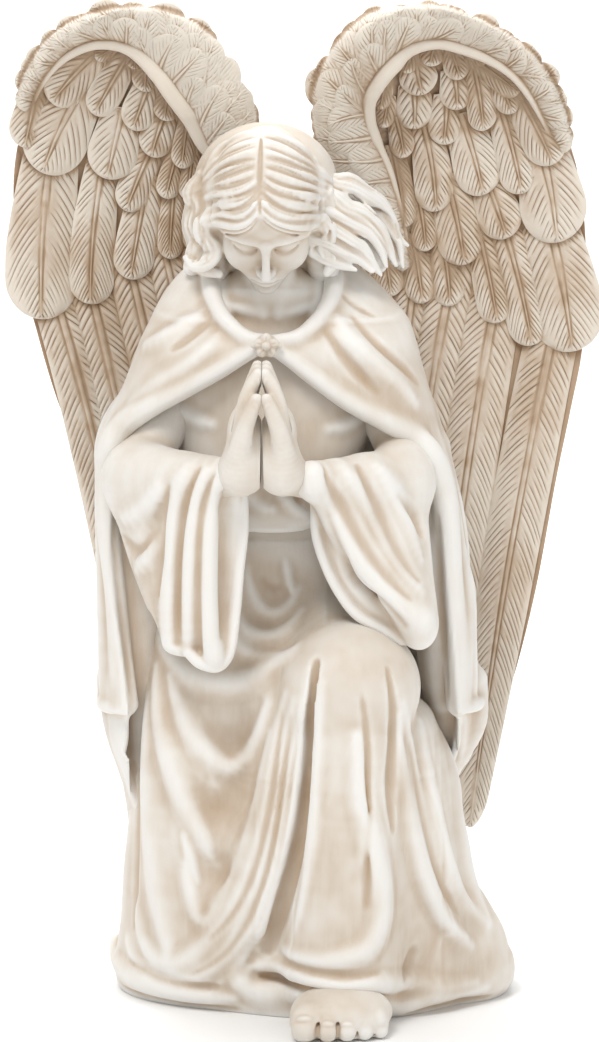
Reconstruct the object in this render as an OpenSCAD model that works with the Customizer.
// Kneeling angel figurine: hollow resin castings, glued together over steel dowels.
// +X is the viewer's right, -Y is the front and +Z is up. The floor is z = 0.

/* [Figure] */
// Overall height, floor to the top of the wings, in mm
total_h = 350; // [320:5:380]
// Wall of the hollow skirt and torso castings
wall = 5; // [4:0.5:6]
// Thickness of the cape casting
cape_t = 4; // [3:0.5:4.5]
// Thickness of a wing casting at its middle
wing_t = 9; // [8:0.5:10]
// Thickness of the plate that closes the bottom
plate_t = 4; // [3:0.5:5]

/* [Joints] */
// Radius of the large dowels that hold the wings, neck and arms
dowel_r = 2; // [1.5:0.25:2.5]
// Radius of the small dowels that hold the hands, foot and hair
pin_r = 1.25; // [1:0.25:1.5]
// Radial clearance of a dowel in its hole
dowel_gap = 0.05; // [0.02:0.01:0.1]
// Glue gap between two castings
glue_gap = 0.3; // [0.2:0.05:0.5]
// Radius of the neck stub
neck_r = 8.5; // [7.5:0.5:9]
// Radius of the vent hole in the bottom plate
vent_r = 6; // [5:0.5:8]

/* [Smoothness] */
// Points around each casting
ring_points = 36; // [24:4:48]
// Rings along each casting
ring_count = 18; // [12:2:24]

/* [Hidden] */
unit = total_h / 350; // every shape below is drawn for a figure 350 mm tall
ivory = [0.93, 0.90, 0.84];
steel = [0.72, 0.73, 0.75];
round_fn = 48;

// Gown: height, centre x, centre y, half width, half depth, how far the raised leg stands out, and in what direction
skirt_keys = [
    [0, 4, 11, 72, 44, 8, 281], [6, 4, 11, 73, 45, 9, 281], [18, 1, 10, 66, 42, 21, 282], [40, -3, 7, 59, 38, 24, 284],
    [70, -4, 3, 54, 33, 23, 287], [95, -4, 0, 49, 30, 23, 290], [115, -4, 0, 44, 27, 24, 293],
    [130, -5, 2, 38, 24, 17, 293], [140, -7, 5, 31, 22, 7, 293], [146, -9, 7, 24, 19, 0, 293]
];
leg_spread = 24;    // half width of the leg's bulge, in degrees
lip_h = 8;          // the torso sits over this lip
// Torso: height, centre x, centre y, half width, half depth
torso_keys = [
    [146, -9, 7, 24, 19], [158, -9, 7, 25, 19], [166, -9, 4, 22, 18], [174, -9, 1, 28, 21],
    [190, -9, 1, 30, 22], [206, -9, 1, 37, 24], [222, -8, 2, 41, 23], [234, -7, 4, 37, 18],
    [242, -7, 6, 27, 13], [248, -9, 6, 17, 10]
];
torso_roof = 226;   // top of the hollow inside the torso
neck = [-10.5, 4];  // axis of the neck stub
neck_z = [247, 264];
// Cape: height, centre x, centre y, half width, half depth, half angle of the front opening
cape_keys = [
    [100, -3.5, 2, 67.5, 38, 85], [142, -6, 2, 65, 34, 82], [185, -9, 2, 61, 31, 78],
    [203, -10, 2, 58, 30.5, 68], [220, -7, 2, 55, 30, 40], [233, -5, 3, 51, 28, 9],
    [243, -6, 5, 45, 25, 34], [252, -7, 7, 36, 22, 72], [259, -8, 9, 27, 18, 104]
];
cape_turn = -8;     // the opening is a little to the figure's right
hem_drop = 26;      // the cape hangs this much lower at the back
collar_z = 257;     // the rolled collar: its height, how high it is and how thick
collar_h = 5;
collar_roll = 3.5;
clasp_at = [-11, -27, 234];
// Sleeves: height, centre x, centre y, half length, half thickness
right_sleeve_keys = [
    [124, -36, -43, 6, 4], [132, -37, -42, 10, 7], [150, -39, -38, 16, 10], [170, -41, -34, 20, 11],
    [184, -43, -31, 22, 11], [193, -43, -30, 20, 10], [198, -44, -29.5, 13, 6]
];
left_sleeve_keys = [
    [134, 38, -40, 6, 5], [142, 36, -39, 11, 7], [158, 31, -36, 17, 9], [172, 27, -33, 21, 10],
    [184, 24, -31, 22, 10], [192, 24, -30, 20, 9], [196, 25, -29.5, 12, 5]
];
sleeve_turn = 42;   // the forearms point inwards by this much
// Hands: height, distance from the line between the palms, half thickness, half depth
palm_x = -10.5;
palm_y = -50;
hand_keys = [
    [187, 7.2, 6.4, 7.5], [196, 7.0, 6.2, 8.5], [206, 5.4, 4.6, 8], [216, 3.8, 3.1, 6],
    [224, 2.5, 2.0, 4.5], [228.5, 1.7, 1.2, 3]
];
// Head with its hair: height, centre x, centre y, half width, half depth
head_keys = [
    [247.5, -12, -20, 5, 4.5], [251, -12, -16, 11, 10], [255, -11.5, -8, 16, 18],
    [263, -11.5, -5, 22, 22], [275, -11, -3.5, 25, 25], [290, -10.5, -2, 25.5, 24.5],
    [302, -11, -0.5, 18, 19], [310, -11, 1, 7, 8]
];
// Loose hair: x, centre y, centre z, half depth, half height
hair_keys = [
    [13, 13, 272, 4, 9], [20, 14, 270, 5, 11], [30, 14, 266, 4.5, 9], [38, 15, 261, 3, 6], [44, 16, 257, 2, 3]
];
// Foot: y, centre x, centre z, half width, half height
foot_keys = [
    [-43.5, 16, 4.5, 13, 3], [-50, 16, 6, 16, 5.2], [-57, 16, 8, 17, 7.5], [-62, 16, 8, 18.5, 7.5],
    [-67, 16, 6.5, 18.5, 6], [-71, 15.5, 5, 16, 4.3], [-73, 15.5, 4.5, 12, 3]
];
// Wings: height, x of the inner edge, x of the outer edge, y of the front face, forward curl of the inner edge
right_wing_keys = [
    [58, -51, -55.5, 46, 0], [75, -45, -58.5, 44, 0], [105, -38, -63, 41, 0], [140, -30, -69, 39, 0],
    [180, -21, -80, 37, 0], [210, -15, -90, 36, 0], [235, -12, -97, 35, 1], [260, -10, -104, 33, 1],
    [290, -10, -106, 30, 3], [312, -15, -101, 25, 4], [330, -25, -92, 18, 3], [343, -37, -78, 13, 1], [350, -50, -62, 14, 0]
];
left_wing_keys = [
    [50, 60, 62.5, 46, 0], [65, 55, 67, 44, 0], [101, 44, 79, 41, 0], [138, 34, 88, 39, 0],
    [179, 24, 95.5, 37, 0], [205, 17, 101, 36, 0], [228, 9, 105, 35, 1], [255, 5, 106, 33, 1],
    [282, 3, 104, 30, 3], [302, 4, 99, 27, 4], [318, 8, 91, 21, 4], [333, 15, 80, 14, 3], [344, 25, 65, 12, 1], [350, 37, 49, 14, 0]
];
wing_cup = 9;       // the wings are hollow in front by this much
root_z = 224;       // the wing's root: its height, how high it is and how far it stands forward
root_h = 18;
root_out = 7;
wing_pins = [[-25, 214], [-25, 234], [20, 214], [20, 234]]; // x and z of the wing dowels
wing_pin_y = [12, 39.5];
arm_pins = [[-42, -28, 188, 48], [24, -26, 186, 130]];      // x, y, z and direction of the arm dowels
arm_pin_l = 27;
wrist_pin_l = 20;

// Smooth curve through rows of numbers, at t rows from the start.
function spline(k, t) = let (
    i = min(floor(t), len(k) - 2), u = t - i,
    a = k[max(i - 1, 0)], b = k[i], c = k[i + 1], d = k[min(i + 2, len(k) - 1)]
) 0.5 * (2 * b + (c - a) * u + (2 * a - 5 * b + 4 * c - d) * u * u + (3 * b - a - 3 * c + d) * u * u * u);
function rows(k, n) = [for (j = [0:n - 1]) spline(k, j * (len(k) - 1) / (n - 1))];
function swell(a, e) = sign(a) * pow(abs(a), 2 / e);

// A closed outline round c, in the plane of u and v. e = 2 is an ellipse, and more is squarer.
function ring(c, u, v, ru, rv, e = 2.3) = [
    for (i = [0:ring_points - 1]) let (a = (i + 0.5) * 360 / ring_points)
        c + u * ru * swell(cos(a), e) + v * rv * swell(sin(a), e)
];
function flat_ring(k, grow = 0) = ring([k[1], k[2], k[0]], [1, 0, 0], [0, 1, 0], k[3] + grow, k[4] + grow);

// Faces between two rows of points that start at p and q.
function band(p, q, m, flip) = [
    for (i = [0:m - 1]) let (a = p + i, b = p + (i + 1) % m, c = q + (i + 1) % m, d = q + i)
        each flip ? [[a, c, d], [a, b, c]] : [[a, d, c], [a, c, b]]
];
// A cap over one ring, in strips between its two halves.
function cap(p, m, flip) = [
    for (i = [0:m / 2 - 2]) let (a = p + i, b = p + i + 1, c = p + m - 2 - i, d = p + m - 1 - i)
        each flip ? [[a, c, b], [a, d, c]] : [[a, b, c], [a, c, d]]
];
// A closed solid through a stack of rings.
module skin(rings) {
    m = len(rings[0]);
    n = len(rings);
    polyhedron(
        points = [for (r = rings) each r],
        faces = concat([for (j = [0:n - 2]) each band(j * m, (j + 1) * m, m, false)], cap(0, m, false), cap((n - 1) * m, m, true))
    );
}
// A solid with a hollow that opens downwards.
module vessel(outer, inner) {
    m = len(outer[0]);
    n = len(outer);
    o = n * m;
    k = len(inner);
    polyhedron(
        points = concat([for (r = outer) each r], [for (r = inner) each r]),
        faces = concat(
            [for (j = [0:n - 2]) each band(j * m, (j + 1) * m, m, false)], cap((n - 1) * m, m, true),
            [for (j = [0:k - 2]) each band(o + j * m, o + (j + 1) * m, m, true)], cap(o + (k - 1) * m, m, false),
            band(0, o, m, true)
        )
    );
}
module rod(from, to, r) {
    d = to - from;
    translate(from) rotate([0, acos(d[2] / norm(d)), atan2(d[1], d[0])]) cylinder(r = r, h = norm(d), $fn = round_fn);
}

// ---- gown
function skirt_ring(k, grow = 0) = [
    for (i = [0:ring_points - 1])
        let (
            a = (i + 0.5) * 360 / ring_points,
            out = k[5] * exp(-pow((a - k[6]) / leg_spread, 2))
        )
        [
            k[1] + (k[3] + grow) * swell(cos(a), 2.3) + out * cos(k[6]),
            k[2] + (k[4] + grow) * swell(sin(a), 2.3) + out * sin(k[6]),
            k[0]
        ]
];
lip_key = [146, -9, 7, 24 - wall - glue_gap, 19 - wall - glue_gap];
module gown_skirt() {
    outer = rows(skirt_keys, ring_count);
    hollow_rows = [for (k = outer) if (k[0] < 134) k];
    color(ivory) difference() {
        scale(unit) vessel(
            concat([for (k = outer) skirt_ring(k)], [flat_ring(lip_key), flat_ring(lip_key + [lip_h, 0, 0, 0, 0])]),
            [for (k = hollow_rows) skirt_ring(k, -wall)]
        );
        foot_hole();
    }
}
module bottom_plate() {
    outline = [for (p = skirt_ring(spline(skirt_keys, 0), -wall - glue_gap)) [p[0], p[1]]];
    color(ivory) difference() {
        linear_extrude(plate_t) scale(unit) polygon(outline);
        translate([0, 0, -1]) cylinder(r = vent_r, h = plate_t + 2, $fn = round_fn);
    }
}
plug_collar_h = 1.5;
module vent_plug() {
    color([0.2, 0.2, 0.2]) {
        translate([0, 0, 0.3]) cylinder(r = vent_r - dowel_gap, h = plate_t + plug_collar_h - 0.3, $fn = round_fn);
        translate([0, 0, plate_t + 0.05]) cylinder(r = vent_r + 1.2, h = plug_collar_h - 0.05, $fn = round_fn);
    }
}

// ---- torso
module torso() {
    outer = rows(torso_keys, ring_count);
    hollow_rows = [for (k = outer) if (k[0] < torso_roof) k];
    color(ivory) difference() {
        union() {
            scale(unit) vessel(
                [for (k = outer) flat_ring(k + [glue_gap, 0, 0, 0, 0])],
                [for (k = hollow_rows) flat_ring(k + [glue_gap, 0, 0, 0, 0], -wall)]
            );
            translate(unit * [neck[0], neck[1], neck_z[0]]) cylinder(r = neck_r, h = unit * (neck_z[1] - neck_z[0]), $fn = round_fn);
        }
        neck_hole();
        wing_holes();
        arm_holes();
        clasp_hole();
    }
}

// ---- cape
function cape_arc(k, in) = [
    for (i = [0:ring_points / 2 - 1])
        let (a = cape_turn + k[5] + i * (360 - 2 * k[5]) / (ring_points / 2 - 1))
        [k[1] + (k[3] - in) * sin(a), k[2] - (k[4] - in) * cos(a), k[0] - hem_at(a) * near_hem(k[0])]
];
function hem_at(a) = hem_drop * pow((1 - cos(a)) / 2, 2);
function near_hem(z) = min(1, max(0, (150 - z) / 50));
function collar_at(z) = collar_roll * exp(-pow((z - collar_z) / collar_h, 2));
function backwards(v) = [for (i = [len(v) - 1:-1:0]) v[i]];
module cape() {
    rings = [
        for (k = rows(cape_keys, ring_count + 8))
            concat(cape_arc(k, -collar_at(k[0])), backwards(cape_arc(k, cape_t)))
    ];
    color(ivory) difference() {
        scale(unit) skin(rings);
        wing_holes();
    }
}
module cape_clasp() {
    petal_r = 2.4;
    color(ivory) translate(unit * clasp_at) {
        for (i = [0:4]) rotate([0, i * 72 + 18, 0]) translate([3.4, 0, 0]) sphere(r = petal_r, $fn = round_fn);
        rotate([-90, 0, 0]) translate([0, 0, -2]) cylinder(r = 3, h = 3.5, $fn = round_fn);
        rotate([-90, 0, 0]) cylinder(r = pin_r, h = 16 * unit, $fn = round_fn);
    }
}

// ---- arms and hands
module sleeve(keys, turn) {
    rings = [for (k = rows(keys, 14)) ring([k[1], k[2], k[0]], [cos(turn), sin(turn), 0], [-sin(turn), cos(turn), 0], k[3], k[4], 2.4)];
    color(ivory) difference() {
        scale(unit) skin(rings);
        arm_holes();
        wrist_holes();
    }
}
module right_sleeve() sleeve(right_sleeve_keys, -sleeve_turn);
module left_sleeve() sleeve(left_sleeve_keys, sleeve_turn);
module hand(side) {
    rings = [for (k = rows(hand_keys, 12)) ring([palm_x + side * k[1], palm_y, k[0]], [1, 0, 0], [0, 1, 0], k[2], k[3], 2.6)];
    color(ivory) difference() {
        scale(unit) skin(rings);
        wrist_holes();
    }
}
module right_hand() hand(-1);
module left_hand() hand(1);

// ---- head
module head() {
    rings = [for (k = rows(head_keys, 14)) flat_ring(k)];
    color(ivory) difference() {
        scale(unit) skin(rings);
        translate(unit * [neck[0], neck[1], neck_z[0] - 10])
            cylinder(r = neck_r + glue_gap, h = unit * (neck_z[1] - neck_z[0] + 10) + glue_gap, $fn = round_fn);
        neck_hole();
        hair_hole();
    }
}
module trailing_hair() {
    rings = [for (k = rows(hair_keys, 12)) ring([k[0] + 3, k[1], k[2]], [0, 1, 0], [0, 0, 1], k[3], k[4])];
    color(ivory) difference() {
        scale(unit) skin(rings);
        hair_hole();
    }
}
module left_foot() {
    rings = [for (k = rows(foot_keys, 10)) ring([k[1], k[0], k[2]], [1, 0, 0], [0, 0, 1], k[3], k[4], 2.8)];
    color(ivory) difference() {
        scale(unit) skin(rings);
        foot_hole();
    }
}

// ---- wings
function across(k, u) = k[1] + (k[2] - k[1]) * u;
function front_y(k, u) =
    k[3] + wing_cup * sin(180 * u) * min(1, abs(k[2] - k[1]) / 60) - k[4] * exp(-pow(u / 0.2, 2));
function thickness(k, u) = wing_t * (0.4 + 0.6 * sin(180 * u)) * min(1, 0.45 + abs(k[2] - k[1]) / 70);
function root_at(z, u) = root_out * exp(-pow((z - root_z) / root_h, 2) - pow((u - 0.12) / 0.14, 2));
function wing_ring(k) = let (half = ring_points / 2 - 1) concat(
    [for (i = [0:half]) [across(k, i / half), front_y(k, i / half) - root_at(k[0], i / half), k[0]]],
    [for (i = [half:-1:0]) [across(k, i / half), front_y(k, i / half) + thickness(k, i / half), k[0]]]
);
module wing(keys, side) {
    rings = [for (k = rows(keys, ring_count + 4)) side > 0 ? wing_ring(k) : backwards(wing_ring(k))];
    color(ivory) difference() {
        scale(unit) skin(rings);
        wing_holes();
    }
}
module right_wing() wing(right_wing_keys, -1);
module left_wing() wing(left_wing_keys, 1);

// ---- dowels and the holes that they sit in
module wing_rods(r, spare = 0) {
    for (p = wing_pins) rod(unit * [p[0], wing_pin_y[0] - spare, p[1]], unit * [p[0], wing_pin_y[1] + spare, p[1]], r);
}
module wing_holes() wing_rods(dowel_r + dowel_gap, 0.5);
module wing_dowels() color(steel) wing_rods(dowel_r);

module neck_rod(r, spare = 0) rod(unit * [neck[0], neck[1], 252 - spare], unit * [neck[0], neck[1], 278 + spare], r);
module neck_hole() neck_rod(dowel_r + dowel_gap, 0.5);
module neck_dowel() color(steel) neck_rod(dowel_r);

module arm_rods(r, spare = 0) {
    for (p = arm_pins) let (d = [cos(p[3]), sin(p[3]), 0])
        rod(unit * ([p[0], p[1], p[2]] - d * spare), unit * ([p[0], p[1], p[2]] + d * (arm_pin_l + spare)), r);
}
module arm_holes() arm_rods(dowel_r + dowel_gap, 0.5);
module arm_dowels() color(steel) arm_rods(dowel_r);

module wrist_rods(r, spare = 0) {
    for (s = [-1, 1]) let (d = [s * cos(sleeve_turn), sin(sleeve_turn), 0], tip = [palm_x + s * 6, palm_y - 1, 191])
        rod(unit * (tip - d * spare), unit * (tip + d * (wrist_pin_l + spare)), r);
}
module wrist_holes() wrist_rods(pin_r + dowel_gap, 0.5);
module wrist_dowels() color(steel) wrist_rods(pin_r);

module foot_rod(r, spare = 0) rod(unit * [16, -54 - spare, 4.7], unit * [16, -38.3 + spare, 4.7], r);
module foot_hole() foot_rod(pin_r + dowel_gap, 0.5);
module foot_dowel() color(steel) foot_rod(pin_r);

module hair_rod(r, spare = 0) rod(unit * [6 - spare, 13, 271], unit * [24 + spare, 13, 271], r);
module hair_hole() hair_rod(pin_r + dowel_gap, 0.5);
module hair_dowel() color(steel) hair_rod(pin_r);

module clasp_hole() translate(unit * clasp_at) rotate([-90, 0, 0]) cylinder(r = pin_r + dowel_gap, h = 17 * unit, $fn = round_fn);

gown_skirt();
bottom_plate();
vent_plug();
torso();
cape();
cape_clasp();
right_sleeve();
left_sleeve();
right_hand();
left_hand();
head();
trailing_hair();
left_foot();
right_wing();
left_wing();
wing_dowels();
neck_dowel();
arm_dowels();
wrist_dowels();
foot_dowel();
hair_dowel();
